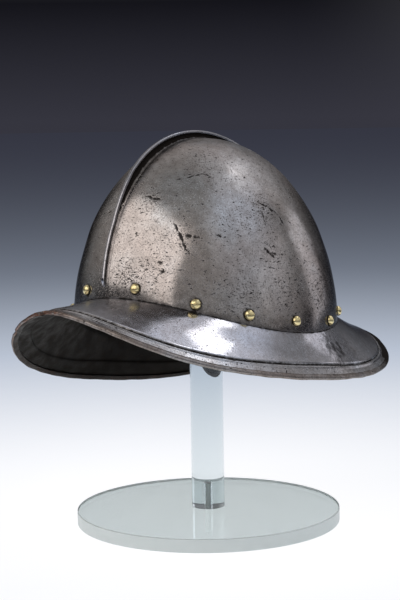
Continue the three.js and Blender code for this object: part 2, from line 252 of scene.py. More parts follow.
class Half:
    """Grid of one half of the hat: columns from seam to seam, rows round the sheet's section."""

    COLUMNS = 216
    SKULL_ROWS = 92

    def __init__(self, side, seed):
        self.side = side
        self.border = BORDER_WIDTH[side]
        self.dents = Dents(np.random.default_rng(seed), 170)
        self.seed = seed
        self.latitudes = np.concatenate(
            [
                np.radians(np.linspace(90, 4.2, self.SKULL_ROWS)),
                np.radians([3.2, 2.2, 1.4, 0.8, 0.35]),
            ]
        )
        self.hem = rounded(HEM, HEM_CORNER, 3)

    def retreat(self, angle):
        """How far the rim is worn or broken back, in millimetres inwards."""
        degrees = np.degrees(angle)
        along = np.stack([degrees * RIM_PER_DEGREE, 0 * degrees, 0 * degrees], -1)
        wear = 0.22 + 0.2 * waves(self.seed + 3, 14, along)
        for start, end, depth in CHIPS[self.side]:
            begun = smooth(start - CHIP_EDGE, start + CHIP_EDGE, degrees)
            ended = smooth(end - CHIP_EDGE, end + CHIP_EDGE, degrees)
            wear = wear + depth * np.minimum(begun, 1 - ended)
        return np.clip(wear, 0, None)

    def meridians(self, angle):
        """Rows of points, with the zone and the grime and painted shade of each row, for an array of
        angles.
        """
        rows, zones, grime_and_shade = [], [], []

        def put(points, zone, dirt_and_shade=0.0):
            rows.append(points)
            zones.append(zone)
            grime_and_shade.append(np.broadcast_to(np.asarray(dirt_and_shade, float), points.shape[:-1]).copy())

        normals, depths = [], []
        for latitude in self.latitudes:
            base = skull_point(angle, latitude)
            normal = skull_normal(angle, latitude)
            ease = smooth(3, 22, np.abs(base[..., 0])) * smooth(0, 7, math.degrees(latitude))
            flutes = waves(self.seed + 5, 52, base * (1, 1, 0.3))
            depth = (self.dents.depth_at(base) + 0.18 * waves(self.seed, 80, base) + 0.22 * flutes) * ease
            normals.append(normal)
            depths.append(depth)
            height = base[..., 2] - line_height(FOOT_LINE, angle)
            # Painted shade darkens the skull towards its foot, in the crease with the brim.
            foot_crease_shade = 0.75 * np.exp(-height / 0.9) + 0.25 * np.exp(-height / 9)
            # Painted shade on the upper skull beside the tall part of the comb.
            comb_side_shade = 0.42 * smooth(38, 55, math.degrees(latitude)) * np.exp(-((base[..., 0] / 9) ** 2))
            put(opened(base) + normal * depth[..., None], "skull", np.maximum(foot_crease_shade, comb_side_shade))

        rim = opened(rim_point(angle))
        foot = opened(skull_point(angle, 0.0))
        slope = foot - rim
        width = np.linalg.norm(slope, axis=-1)
        inward = slope / width[..., None]
        along = rim_point(angle + 1e-3) - rim_point(angle - 1e-3)
        above = unit(np.cross(along, inward))
        retreat = self.retreat(angle)
        shoulder = self.border + BORDER["step_width"]

        def brim_point(distance, lift):
            distance = np.broadcast_to(np.asarray(distance, float), angle.shape)
            bow = BRIM["bow"] * np.sin(np.pi * np.clip(distance / width, 0, 1))
            wobble = 0.2 * waves(self.seed + 1, 48, rim + inward * distance[..., None])
            wobble = wobble * smooth(0, 9, width - distance)
            push = retreat * (1 - smooth(1, 9, distance))
            return rim + inward * (distance + push)[..., None] + above * (lift - bow + wobble)[..., None]

        # Painted shadow on the rear rim, on the border of both halves and on the near half's hem.
        rear = 1.3 * smooth(*REAR_SHADOW, np.degrees(angle))
        hem_darkening = rear if self.side == "left" else 1.1 * smooth(*DARK_FAR_HEM, np.degrees(angle))
        # Painted shade in the crease at the brim's foot.
        put(foot, "brim", 0.9)
        for share in np.concatenate([[0.012, 0.03, 0.06], np.linspace(0.1, 1, 26)]):
            distance = width + (shoulder - width) * share
            near_foot = np.exp(-(width - distance) / 1.0)
            near_step = np.exp(-(distance - shoulder) / 0.8)
            # Painted shade at the brim's foot, in the crease with the skull; a little darker also towards
            # the border's step.
            dirt_and_shade = 0.6 * near_foot + 0.15 * near_step
            put(brim_point(distance, BORDER["step_depth"] * share), "brim", dirt_and_shade)
        for share in (0.2, 0.4, 0.6, 0.8, 1.0):
            lift = BORDER["step_depth"] * (1 - smooth(0, 1, share))
            # Painted shade down the face of the border's step.
            dirt_and_shade = 0.85 * math.sin(math.pi * 0.5 * share)
            put(brim_point(shoulder - BORDER["step_width"] * share, lift), "border", dirt_and_shade)
        for share in np.linspace(0.06, 1, 14):
            reach = (self.border - HEM_TOP_END) * share
            bead = BORDER["bead_height"] * math.sin(math.pi * min(reach / BORDER["bead_width"], 1)) ** 2
            # Painted shade at the foot of the step, and painted shadow on the rear rim.
            dirt_and_shade = 0.75 * math.exp(-reach / 0.5) + rear * smooth(0.15, 0.75, share)
            put(brim_point(self.border - reach, bead), "border", dirt_and_shade)
        for distance, lift in self.hem:
            # Painted shade at the hem's inner edge, where it rises from the border; the rest of the hem is
            # a little darker.
            dirt_and_shade = 0.55 if lift > -0.2 and distance > 3.4 else 0.15
            put(brim_point(distance, lift), "turn" if lift < -2.4 else "hem", dirt_and_shade + hem_darkening)
        under = -WALL
        for share in np.linspace(0.2, 1, 5):
            put(brim_point(HEM_UNDER_END + (self.border - HEM_UNDER_END) * share, under), "inside")
        for share in (0.33, 0.66, 1.0):
            lift = BORDER["step_depth"] * smooth(0, 1, share) + under
            put(brim_point(self.border + BORDER["step_width"] * share, lift), "inside")
        for share in np.linspace(0.92, 0.06, 12):
            distance = width + (shoulder - width) * share
            put(brim_point(distance, BORDER["step_depth"] * share + under), "inside")
        foot_normal = unit(skull_normal(angle, 0.0) + above)
        put(foot - foot_normal * WALL, "inside")
        picks = range(len(self.latitudes) - 2, -1, -3)
        for i in picks:
            base = opened(skull_point(angle, self.latitudes[i])) + normals[i] * depths[i][..., None]
            put(base - normals[i] * WALL, "inside")
        if picks[-1] != 0:
            put(opened(skull_point(angle, self.latitudes[0])) - normals[0] * WALL, "inside")
        return np.array(rows), zones, np.array(grime_and_shade)

    def seam_columns(self, angle, drop):
        """Columns from the comb's foot to the seam's face, raised as a flange."""
        rows, _, grime_and_shade = self.meridians(np.array([angle]))
        face = GAP / 2
        side = face + COMB["flange"]
        shares = [(s, 0.5 * (1 - s) ** 2.6) for s in (0.86, 0.7, 0.54, 0.4, 0.28, 0.18, 0.1, 0.04, 0.0)]
        places = [(side + (COMB["foot_half_width"] - side) * s, up, 1 - s) for s, up in shares]
        places += [(side, up, 1.0) for up in (0.7, 0.85, 1.0)]
        places += [(side * 0.5, 1.0, 1.0), (face, 1.0, 1.0)]
        columns, dirt_and_shade = [], []
        normals = skull_normal(angle, self.latitudes)
        heights = np.maximum(comb_height(angle, self.latitudes) - drop, 0)
        for x, up, near in places:
            column = rows[:, 0].copy()
            column[:, 0] = x
            n = len(self.latitudes)
            column[:n] += normals * (heights * up)[:, None]
            columns.append(column)
            shade = grime_and_shade[:, 0].copy()
            # Painted shadow on the flange and the comb's foot under the folded lip, stronger where the
            # comb is tall.
            lip_shadow = 0.5 * smooth(0, 0.6, heights) + 0.6 * smooth(1.5, 4, heights)
            shade[:n] = np.maximum(shade[:n], smooth(0.3, 0.92, near) * lip_shadow)
            dirt_and_shade.append(shade)
        return np.stack(columns, 1), np.stack(dirt_and_shade, 1)

    def sheet(self, rows, columns):
        """Angle and latitude of every grid point, in degrees, with rows off the skull at the foot."""
        strip = (columns - self.COLUMNS) // 2
        angle = np.concatenate([np.zeros(strip), np.linspace(0, 180, self.COLUMNS), np.full(strip, 180.0)])
        latitude = np.full(rows, -30.0)
        latitude[: len(self.latitudes)] = np.degrees(self.latitudes)
        return np.broadcast_to(angle, (rows, columns)), np.broadcast_to(latitude[:, None], (rows, columns))

    def grid(self, drop):
        """All points, the zone of each row and the grime and painted shade, with the flange lowered by the
        drop.
        """
        angles = np.linspace(0, math.pi, self.COLUMNS)
        rows, zones, grime_and_shade = self.meridians(angles)
        front, front_dirt_and_shade = self.seam_columns(0.0, drop)
        rear, rear_dirt_and_shade = self.seam_columns(math.pi, drop)
        points = np.concatenate([front[:, ::-1], rows, rear], 1)
        dirt_and_shade = np.concatenate([front_dirt_and_shade[:, ::-1], grime_and_shade, rear_dirt_and_shade], 1)
        return points, zones, dirt_and_shade


def lip_sections():
    """Sections of the folded lip over the ridge, from the front end to the rear end."""
    latitudes = np.radians(np.concatenate([np.linspace(COMB["end_latitude"] - 1.4, 88.5, 80), [90]]))
    side = GAP / 2 + COMB["flange"]
    outer = side + LIP_GAP + LIP["hook_thickness"]
    path = [(0.0, a) for a in latitudes] + [(math.pi, a) for a in latitudes[-2::-1]]
    sections = []
    for angle, latitude in path:
        end = float(smooth(COMB["end_latitude"] - 1.5, COMB["end_latitude"] + 0.4, math.degrees(latitude)))
        height = max(float(comb_height(angle, latitude)), 2.4 * end)
        bottom = height - LIP["thickness"]
        hook = min(bottom, max(height - LIP["hook_drop"], LIP["hook_clearance"]))
        places = [
            (-side, bottom - LIP["lap"]),
            (-GAP / 2, bottom - LIP["lap"]),
            (-GAP / 2, bottom),
            (side + LIP_GAP, bottom),
            (side + LIP_GAP, hook - 0.02),
            (outer, hook - 0.02),
            (outer, height),
            (-side, height),
        ]
        shape = rounded(places, LIP["round"], 4, closed=True)
        taper = 0.55 + 0.45 * end
        base = skull_point(angle, latitude)
        normal = skull_normal(angle, latitude)
        section = base + normal * (shape[:, 1] * taper)[:, None]
        section[:, 0] = shape[:, 0] * taper
        sections.append(section[::-1])
    return np.array(sections)


# Mesh making


def make_object(name, vertices, faces, materials, indices=None, attributes=None, matrix=None, sharp=38):
    mesh = bpy.data.meshes.new(name)
    mesh.from_pydata([tuple(v) for v in vertices], [], [tuple(f) for f in faces])
    for material in materials:
        mesh.materials.append(material)
    if indices is not None:
        mesh.polygons.foreach_set("material_index", np.asarray(indices, np.int32))
    for key, values in (attributes or {}).items():
        layer = mesh.attributes.new(key, "FLOAT", "POINT")
        layer.data.foreach_set("value", np.asarray(values, np.float32))
    bm = bmesh.new()
    bm.from_mesh(mesh)
    bmesh.ops.remove_doubles(bm, verts=bm.verts, dist=2e-4)
    bmesh.ops.dissolve_degenerate(bm, edges=bm.edges, dist=1e-5)
    loose = [e for e in bm.edges if e.is_boundary]
    if loose:
        bmesh.ops.holes_fill(bm, edges=loose, sides=0)
    bmesh.ops.recalc_face_normals(bm, faces=bm.faces)
    bm.transform(Matrix.Scale(MM, 4) @ (matrix or Matrix.Identity(4)))
    bm.to_mesh(mesh)
    bm.free()
    mesh.shade_smooth()
    mesh.set_sharp_from_angle(angle=math.radians(sharp))
    obj = bpy.data.objects.new(name, mesh)
    bpy.context.scene.collection.objects.link(obj)
    return obj


def grid_faces(rows, columns, offset=0, wrap=False):
    faces = []
    span = columns if wrap else columns - 1
    for r in range(rows - 1):
        for c in range(span):
            d = (c + 1) % columns
            faces.append((offset + r * columns + c, offset + (r + 1) * columns + c,
                          offset + (r + 1) * columns + d, offset + r * columns + d))
    return faces


def lathe(profile, segments):
    """A form turned about Z from (radius, height) pairs in order round its section."""
    turn = np.linspace(0, 2 * math.pi, segments, endpoint=False)
    rows = [np.stack([r * np.cos(turn), r * np.sin(turn), np.full(segments, z)], -1) for r, z in profile]
    vertices = np.concatenate(rows)
    return vertices, grid_faces(len(profile), segments, wrap=True)


def settle(obj, node):
    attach(obj, "root")
    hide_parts(node)
    return obj


# Materials


class Tree:
    """Short names for the nodes of one material or of the world."""

    def __init__(self, owner, shader, place):
        owner.use_nodes = True
        self.material = owner
        self.nodes = owner.node_tree.nodes
        self.links = owner.node_tree.links
        self.shader = self.nodes[shader]
        self.place = self.nodes.new("ShaderNodeTexCoord").outputs[place]

    def set(self, socket, value):
        if isinstance(value, bpy.types.NodeSocket):
            self.links.new(value, socket)
        else:
            socket.default_value = value

    def shade(self, **values):
        for key, value in values.items():
            self.set(self.shader.inputs[key.replace("_", " ")], value)

    def math(self, operation, a, b=0.0, c=0.0, clamp=False):
        node = self.nodes.new("ShaderNodeMath")
        node.operation = operation
        node.use_clamp = clamp
        for socket, value in zip(node.inputs, (a, b, c)):
            self.set(socket, value)
        return node.outputs[0]

    def scaled(self, scale, rotation=(0, 0, 0)):
        node = self.nodes.new("ShaderNodeMapping")
        self.links.new(self.place, node.inputs["Vector"])
        node.inputs["Scale"].default_value = scale
        node.inputs["Rotation"].default_value = rotation
        return node.outputs[0]

    def noise(self, scale, detail=3.0, roughness=0.55, vector=None):
        node = self.nodes.new("ShaderNodeTexNoise")
        self.set(node.inputs["Vector"], vector or self.place)
        node.inputs["Scale"].default_value = scale
        node.inputs["Detail"].default_value = detail
        node.inputs["Roughness"].default_value = roughness
        return node.outputs["Fac"]

    def cells(self, scale, vector):
        """Distance to the middle of the nearest cell, and two random values of that cell."""
        node = self.nodes.new("ShaderNodeTexVoronoi")
        self.links.new(vector, node.inputs["Vector"])
        node.inputs["Scale"].default_value = scale
        split = self.nodes.new("ShaderNodeSeparateColor")
        self.links.new(node.outputs["Color"], split.inputs[0])
        return node.outputs["Distance"], split.outputs[0], split.outputs[1]

    def ramp(self, value, low, high, to_low=0.0, to_high=1.0):
        node = self.nodes.new("ShaderNodeMapRange")
        node.interpolation_type = "SMOOTHSTEP"
        keys = ("Value", "From Min", "From Max", "To Min", "To Max")
        for key, v in zip(keys, (value, low, high, to_low, to_high)):
            self.set(node.inputs[key], v)
        return node.outputs[0]

    def mix(self, factor, a, b, blend="MIX"):
        node = self.nodes.new("ShaderNodeMix")
        node.data_type = "RGBA"
        node.blend_type = blend
        self.set(node.inputs["Factor"], factor)
        self.set(node.inputs[6], a if isinstance(a, bpy.types.NodeSocket) else (*a, 1))
        self.set(node.inputs[7], b if isinstance(b, bpy.types.NodeSocket) else (*b, 1))
        return node.outputs[2]

    def attribute(self, name):
        node = self.nodes.new("ShaderNodeAttribute")
        node.attribute_name = name
        return node.outputs["Fac"]

    def dot(self, vector, axis):
        node = self.nodes.new("ShaderNodeVectorMath")
        node.operation = "DOT_PRODUCT"
        self.set(node.inputs[0], vector)
        node.inputs[1].default_value = axis
        return node.outputs["Value"]

    def length(self, vector):
        node = self.nodes.new("ShaderNodeVectorMath")
        node.operation = "LENGTH"
        self.links.new(vector, node.inputs[0])
        return node.outputs["Value"]

    def bump(self, height, strength, distance, normal=None):
        node = self.nodes.new("ShaderNodeBump")
        node.inputs["Strength"].default_value = strength
        node.inputs["Distance"].default_value = distance
        self.set(node.inputs["Height"], height)
        if normal:
            self.links.new(normal, node.inputs["Normal"])
        return node.outputs[0]


def painted(name):
    return Tree(bpy.data.materials.new(name), "Principled BSDF", "Object")


def dots(tree, scale, small, large, keep, vector):
    """Scattered round-ish spots: one in each kept cell, of varied size."""
    distance, chance, size = tree.cells(scale, vector)
    edge = tree.math("MULTIPLY_ADD", size, large - small, small)
    inside = tree.math("SUBTRACT", edge, distance)
    spot = tree.ramp(inside, 0.0, small * 0.7)
    return tree.math("MULTIPLY", spot, tree.math("LESS_THAN", chance, keep))


def warped(tree, scale, reach, vector):
    """The coordinates shifted by a noise, so that shapes drawn in them come out ragged."""
    noise = tree.nodes.new("ShaderNodeTexNoise")
    noise.inputs["Scale"].default_value = scale
    noise.inputs["Detail"].default_value = 3
    tree.links.new(tree.place, noise.inputs["Vector"])
    warp = tree.nodes.new("ShaderNodeVectorMath")
    warp.operation = "MULTIPLY_ADD"
    tree.links.new(noise.outputs["Color"], warp.inputs[0])
    warp.inputs[1].default_value = (reach, reach, reach)
    tree.links.new(vector, warp.inputs[2])
    return warp.outputs[0]


def pits(tree, amount):
    """Rust pits of several sizes, gathered in patches. Returns their cover, from 0 to 1."""
    patches = tree.ramp(tree.noise(26, 4, 0.62), 0.45, 0.82)
    patches = tree.math("MAXIMUM", patches, tree.attribute("pitting"))
    limit = tree.ramp(patches, 0, 1, 0.575, 0.518)
    fine = tree.ramp(tree.math("SUBTRACT", tree.noise(1050, 4, 0.7), limit), 0.015, 0.07)
    stretched = tree.scaled((1.0, 1.0, 2.2), (0.5, 0.4, 0.3))
    medium = tree.math("SUBTRACT", tree.noise(330, 4, 0.62, stretched), limit)
    medium = tree.ramp(medium, 0.055, 0.09)
    bent = warped(tree, 480, 0.0030, tree.place)
    broken = tree.ramp(tree.noise(520, 3), 0.42, 0.55)
    large = tree.math("MULTIPLY", dots(tree, 90, 0.05, 0.14, 0.4, bent), broken)
    worst = tree.math("MAXIMUM", tree.math("MULTIPLY", fine, 0.85), tree.math("MAXIMUM", medium, large))
    return tree.math("MULTIPLY", worst, amount)


# Millimetres to a degree, across and up the skull, in the flat drawing of the scars.
SHEET_SCALE = (1.3, 2.05)
SCAR_WARP = 3.4


def sheet_place(degrees, latitude):
    """Flat coordinates on the near half, in millimetres, in which its scars are drawn."""
    return degrees * SHEET_SCALE[0], latitude * SHEET_SCALE[1]


SCARS = dict(
    # points along the scar, listed in pixels of the photo, and width in millimetres
    crown_arc=(((176, 180), (185, 179), (195, 176), (203, 175), (210, 176)), 1.2),
    long_crack=(((175, 224), (179, 231), (183, 242), (186, 249), (190, 254)), 1.4),
    patch_top=(((146, 196), (153, 198), (160, 199)), 1.9),
    twin_pit_left=(((187, 235), (190, 236)), 2.2),
    twin_pit_right=(((195, 237), (198, 237)), 2.0),
    lone_pit=(((218, 236), (221, 236)), 1.7),
    low_pit_upper=(((159, 262), (162, 263)), 1.9),
    low_pit_lower=(((161, 270), (164, 271)), 2.1),
    rear_arc=(((258, 202), (268, 208), (278, 216), (284, 226)), 1.4),
    rear_branch=(((261, 210), (265, 224)), 1.1),
    rear_patch=(((265, 248), (270, 253), (275, 258)), 1.7),
)


def photo_place(pixel):
    """Angle and latitude, in degrees, of the spot on the near half that a pixel of the photo shows."""
    angles, latitudes = np.radians(np.arange(2, 150, 0.5)), np.radians(np.arange(1, 85, 0.5))
    angle, latitude = np.meshgrid(angles, latitudes)
    points = opened(skull_point(angle, latitude))
    turn, shift = np.array(HAT.to_3x3()), np.array(HAT.translation)
    spot, right, up, forward = (np.array(v) for v in camera_axes())
    sight = (points @ turn.T + shift) * MM - spot
    depth = sight @ forward
    x = PHOTO["width"] / 2 + CAMERA["focal"] * (sight @ right) / depth
    y = PHOTO["height"] / 2 - CAMERA["focal"] * (sight @ up) / depth
    hidden = np.sum((skull_normal(angle, latitude) @ turn.T) * sight, -1) > 0
    miss = np.hypot(x - pixel[0], y - pixel[1]) + 1000 * hidden
    best = np.unravel_index(np.argmin(miss), miss.shape)
    return math.degrees(angle[best]), math.degrees(latitude[best])


def scars(tree):
    """The longer cracks and chains of pits of the near half."""
    place = tree.nodes.new("ShaderNodeCombineXYZ")
    tree.links.new(tree.attribute("sheet_across"), place.inputs[0])
    tree.links.new(tree.attribute("sheet_up"), place.inputs[1])
    bent = warped(tree, 260, SCAR_WARP, place.outputs[0])
    cover = None
    lines = []
    for pixels, width in SCARS.values():
        places = [np.array(sheet_place(*photo_place(pixel))) for pixel in pixels]
        lines += [(start, end, width) for start, end in zip(places, places[1:])]
    for start, end, width in lines:
        along = end - start
        middle = (start + end) / 2 + SCAR_WARP / 2
        node = tree.nodes.new("ShaderNodeMapping")
        node.vector_type = "TEXTURE"
        tree.links.new(bent, node.inputs["Vector"])
        node.inputs["Location"].default_value = (*middle, SCAR_WARP / 2)
        node.inputs["Rotation"].default_value = (0, 0, math.atan2(along[1], along[0]))
        node.inputs["Scale"].default_value = (np.linalg.norm(along) / 2 + width / 2, width * 0.72, 8)
        one = tree.ramp(tree.length(node.outputs[0]), 1.15, 0.55)
        cover = one if cover is None else tree.math("MAXIMUM", cover, one)
    broken = tree.ramp(tree.noise(430, 3, 0.6), 0.36, 0.48, 0.12, 1.0)
    return tree.math("MULTIPLY", cover, broken)


PIT_COLOUR = (0.016, 0.013, 0.012)
# Colour of grime and of painted shade in creases, under the comb's lip and on the rear rim.
GRIME_AND_SHADE_COLOUR = (0.018, 0.015, 0.013)
RUST_COLOURS = ((0.10, 0.035, 0.018), (0.26, 0.11, 0.06))
BLUER = (0.93, 1.0, 1.06)


def steel(name, light, warm, dark, roughness, pitting, dullness, edge, scarred=False):
    """Worn polished steel: grey with warm patches, pits, grime, and painted shade in its creases and
    corners.
    """
    tree = painted(name)
    broad = tree.ramp(tree.noise(16, 4, 0.6), 0.34, 0.7)
    cool = tree.noise(21, 3, 0.55, tree.scaled((1, 1, 0.6), (0.2, 0.3, 0.9)))
    cool = tree.math("MULTIPLY", tree.ramp(cool, 0.42, 0.66), 0.75)
    colour = tree.mix(broad, light, warm)
    colour = tree.mix(cool, colour, tuple(c * t for c, t in zip(light, BLUER)))
    fine = tree.ramp(tree.noise(150, 4, 0.65), 0.3, 0.75)
    colour = tree.mix(tree.math("MULTIPLY", fine, dullness), colour, dark)
    grain = tree.ramp(tree.noise(900, 4, 0.75), 0.36, 0.66)
    colour = tree.mix(tree.math("MULTIPLY", grain, 0.5), colour, dark)
    pit = pits(tree, pitting)
    if scarred:
        pit = tree.math("MAXIMUM", pit, scars(tree))
    # The grime attribute holds real grime and painted shade; both darken the colour and roughen the steel.
    grime_and_shade = tree.attribute("grime_and_shade")
    bare = tree.ramp(tree.noise(260, 5, 0.68), 0.32, 0.62, 0.5, 0.0)
    smear_and_shade = tree.math("SUBTRACT", tree.math("MULTIPLY", grime_and_shade, 1.5), bare, clamp=True)
    rust = tree.attribute("rust")
    rust = tree.math("MULTIPLY", rust, tree.ramp(tree.noise(210, 4, 0.65), 0.32, 0.6), clamp=True)
    rusty = tree.mix(tree.noise(500, 2), *RUST_COLOURS)
    colour = tree.mix(rust, colour, rusty)
    colour = tree.mix(tree.math("MULTIPLY", pit, 0.92), colour, PIT_COLOUR)
    colour = tree.mix(smear_and_shade, colour, GRIME_AND_SHADE_COLOUR)
    low, high = roughness
    rough = tree.ramp(tree.noise(60, 4, 0.6), 0.3, 0.7, low, high)
    rough = tree.math("ADD", rough, tree.math("MULTIPLY", tree.attribute("dull"), 0.2))
    spoiled = tree.math("MAXIMUM", tree.math("MAXIMUM", pit, smear_and_shade), rust)
    rough = tree.math("MAXIMUM", rough, tree.ramp(spoiled, 0, 1, 0.0, 0.62))
    height = tree.math("SUBTRACT", tree.math("MULTIPLY", tree.noise(900, 3, 0.6), 0.15), pit)
    normal = tree.bump(height, 0.5, 0.00015)
    normal = tree.bump(tree.noise(70, 2, 0.5), 0.1, 0.0005, normal)
    tree.shade(Base_Color=colour, Roughness=rough, Normal=normal, Metallic=1.0)
    tree.shader.inputs["Specular Tint"].default_value = (edge, edge, edge, 1)
    return tree.material


def dark_inside(name, dark, light, rust, gloss):
    """Unpolished steel gone brown and black."""
    tree = painted(name)
    broad = tree.ramp(tree.noise(26, 5, 0.65), 0.3, 0.7)
    colour = tree.mix(broad, dark, light)
    spots = tree.ramp(tree.noise(240, 4, 0.7), 0.52, 0.7)
    colour = tree.mix(tree.math("MULTIPLY", spots, 0.5), colour, rust)
    rough = tree.ramp(tree.noise(120, 3), 0.3, 0.7, 0.42, 0.7)
    normal = tree.bump(tree.noise(420, 5, 0.65), 0.5, 0.0004)
    tree.shade(Base_Color=colour, Roughness=rough, Normal=normal, Metallic=0.0)
    tree.shader.inputs["Specular IOR Level"].default_value = gloss
    return tree.material


def brass(name):
    """Bright hammered brass with a few dark specks."""
    tree = painted(name)
    tone = tree.ramp(tree.noise(260, 3, 0.6), 0.3, 0.7)
    colour = tree.mix(tone, (0.90, 0.78, 0.44), (0.80, 0.65, 0.32))
    spots = tree.ramp(tree.noise(900, 3, 0.6), 0.6, 0.74)
    colour = tree.mix(tree.math("MULTIPLY", spots, 0.6), colour, (0.20, 0.14, 0.05))
    rough = tree.ramp(tree.noise(420, 3), 0.3, 0.7, 0.16, 0.34)
    normal = tree.bump(tree.noise(330, 2, 0.5), 0.35, 0.0006)
    tree.shade(Base_Color=colour, Roughness=rough, Normal=normal, Metallic=1.0)
    return tree.material


def acrylic(name, tint, roughest):
    """Clear polished acrylic with faint scuffs."""
    tree = painted(name)
    rough = tree.ramp(tree.noise(35, 4, 0.6), 0.35, 0.7, 0.0, roughest)
    scuffs = tree.ramp(tree.noise(260, 2, 0.5, tree.scaled((1, 1, 0.15))), 0.68, 0.8)
    rough = tree.math("ADD", rough, tree.math("MULTIPLY", scuffs, 0.06))
    tone = tree.mix(tree.noise(14, 2), tint, tuple(c * 0.975 for c in tint))
    normal = tree.bump(tree.noise(18, 2, 0.4), 0.05, 0.0008)
    tree.shade(Base_Color=tone, Roughness=rough, Normal=normal, Metallic=0.0, IOR=1.49)
    tree.shader.inputs["Transmission Weight"].default_value = 1.0
    return tree.material


def frosted(name, pale, dark):
    """Sawn and sanded acrylic."""
    tree = painted(name)
    tone = tree.mix(tree.noise(60, 4, 0.6), pale, dark)
    rough = tree.ramp(tree.noise(200, 3), 0.3, 0.7, 0.35, 0.55)
    normal = tree.bump(tree.noise(700, 3), 0.2, 0.0002)
    tree.shade(Base_Color=tone, Roughness=rough, Normal=normal)
    tree.shader.inputs["Transmission Weight"].default_value = 0.35
    return tree.material


def pale_pin(name):
    """The pin in the foot of the rod, which looks nearly white through the acrylic."""
    tree = painted(name)
    tone = tree.mix(tree.noise(300, 3), (0.95, 0.95, 0.94), (0.82, 0.80, 0.74))
    rough = tree.ramp(tree.noise(500, 2), 0.3, 0.7, 0.35, 0.5)
    tree.shade(Base_Color=tone, Roughness=rough, Metallic=0.15)
    return tree.material


SKULL_STEEL = steel(
    "skull_steel",
    light=(0.57, 0.55, 0.54),
    warm=(0.50, 0.44, 0.41),
    dark=(0.25, 0.222, 0.205),
    roughness=(0.14, 0.21),
    pitting=1.0,
    dullness=0.6,
    edge=0.3,
    scarred=True,
)
BRIM_STEEL = steel(
    "brim_steel",
    light=(0.60, 0.605, 0.65),
    warm=(0.54, 0.515, 0.53),
    dark=(0.31, 0.29, 0.29),
    roughness=(0.08, 0.14),
    pitting=0.45,
    dullness=0.45,
    edge=0.6,
)
BORDER_STEEL = steel(
    "border_steel",
    light=(0.58, 0.58, 0.60),
    warm=(0.51, 0.475, 0.46),
    dark=(0.25, 0.23, 0.22),
    roughness=(0.16, 0.28),
    pitting=1.0,
    dullness=0.5,
    edge=0.6,
)
HEM_STEEL = steel(
    "hem_steel",
    light=(0.42, 0.395, 0.38),
    warm=(0.33, 0.27, 0.235),
    dark=(0.14, 0.115, 0.10),
    roughness=(0.26, 0.42),
    pitting=1.0,
    dullness=0.6,
    edge=0.6,
)
TURN = dark_inside(
    "hem_underside",
    dark=(0.012, 0.010, 0.009),
    light=(0.034, 0.025, 0.020),
    rust=(0.075, 0.042, 0.028),
    gloss=0.14,
)
INSIDE = dark_inside(
    "steel_inside",
    dark=(0.0050, 0.0038, 0.0026),
    light=(0.0088, 0.0065, 0.0046),
    rust=(0.020, 0.013, 0.0085),
    gloss=0.06,
)
BRASS = brass("rivet_brass")
DISC_ACRYLIC = acrylic("disc_acrylic", tint=(0.86, 0.945, 0.95), roughest=0.05)
DISC_EDGE = frosted("disc_edge", pale=(0.85, 0.915, 0.915), dark=(0.76, 0.84, 0.84))
ROD_ACRYLIC = acrylic("rod_acrylic", tint=(0.74, 0.80, 0.82), roughest=0.02)
PIN = pale_pin("dowel_steel")
ZONES = ("skull", "brim", "border", "hem", "turn", "inside")
ZONE_MATERIALS = (SKULL_STEEL, BRIM_STEEL, BORDER_STEEL, HEM_STEEL, TURN, INSIDE)


# The hat


def rivet_place(degrees, height):
    """Place and outward direction of a rivet at an angle and a height above the foot."""
    angle = math.radians(degrees)
    foot = float(line_height(FOOT_LINE, angle))
    rise = height / (SKULL["height"] - foot)
    latitude = math.asin(rise ** (SKULL["rise_sharpness"] / 2))
    return opened(skull_point(angle, latitude)), skull_normal(angle, latitude)


LEFT_RIVETS = [rivet_place(left, height) for left, right, height in RIVETS]
RIGHT_RIVETS = [rivet_place(right, height) for left, right, height in RIVETS]


def spots_at(points, spots):
    """How strongly soft spots, given by place, radius and amount, cover the points."""
    flat = points.reshape(-1, 3)
    total = np.zeros(len(flat))
    for x, y, z, radius, amount in spots:
        total = np.maximum(total, amount * np.exp(-np.sum((flat - (x, y, z)) ** 2, -1) / radius**2))
    return total.reshape(points.shape[:-1])


# Spots of rust and spots of darkening on each half: place and radius in millimetres, and amount.
RUST = {
    "left": ((6, -159, 3, 10, 0.9), (4, 158, -2, 12, 0.6)),
    "right": ((12, -158, 2, 22, 1.0), (45, -146, -4, 26, 0.7), (4, 158, -2, 14, 0.7)),
}
DARK_SPOTS = {
    "left": ((95, 40, -23, 20, 0.65), (22, -118, 10, 18, 0.3), (8, 160, -4, 26, 0.8)),
    "right": ((8, 160, -4, 40, 0.9),),
}
PITTED = (
    # angle and latitude of a pitted patch, its radius in millimetres and how dense it is
    (12, 7, 15, 1.0),
    (20, 37, 11, 0.8),
    (24, 12, 12, 0.6),
    (40, 24, 14, 0.6),
    (45, 54, 24, 0.6),
    (62, 8, 22, 0.75),
    (85, 12, 18, 0.8),
    (80, 37, 14, 0.8),
    (78, 23, 10, 0.8),
    (110, 10, 25, 0.7),
)
# Shift of the far half in the drawing of the scars, which keeps them off it.
FAR_SHIFT = 1000


